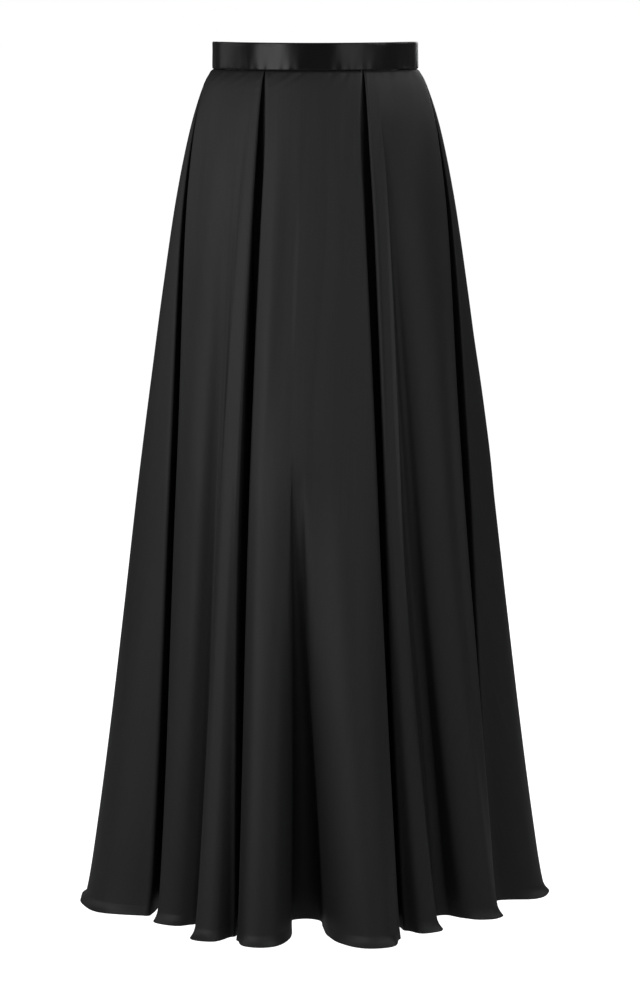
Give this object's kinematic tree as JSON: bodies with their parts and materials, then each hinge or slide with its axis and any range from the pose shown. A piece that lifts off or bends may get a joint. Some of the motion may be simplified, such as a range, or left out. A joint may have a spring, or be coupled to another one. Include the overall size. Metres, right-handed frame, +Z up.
{
  "type": "satin maxi skirt",
  "caption": "Floor-length flared satin skirt whose inverted pleats fall in deep folds from a narrow fitted waistband, with a concealed zip at centre back.",
  "frame": {"origin": "centre of the waistband at its mid-height, where the wearer's waist holds it", "axes": "+Z up along the length, -Y is the front that the picture shows, +X is the wearer's left"},
  "size_m": [0.5719, 0.4525, 1.0467],
  "materials": {
    "satin": "black satin with a soft sheen",
    "band_satin": "black satin over interfacing, a little glossier",
    "zip_tape": "matt black woven tape",
    "zip_metal": "black enamel, half gloss"
  },
  "bodies": {
    "garment": {"skirt_front": "satin", "skirt_back_left": "satin", "skirt_back_right": "satin", "waistband_front": "band_satin", "waistband_back_left": "band_satin", "waistband_back_right": "band_satin", "zip_tape_left": "zip_tape", "zip_tape_right": "zip_tape", "zip_slider": "zip_metal"},
    "pull": {"zip_pull": "zip_metal"}
  },
  "joints": [
    {"name": "zip_pull_hinge", "type": "hinge", "parent": "garment", "child": "pull", "pos_m": [0, 0.09735, 0.005], "axis": [1, 0, 0], "range_deg": [0, 150]}
  ]
}
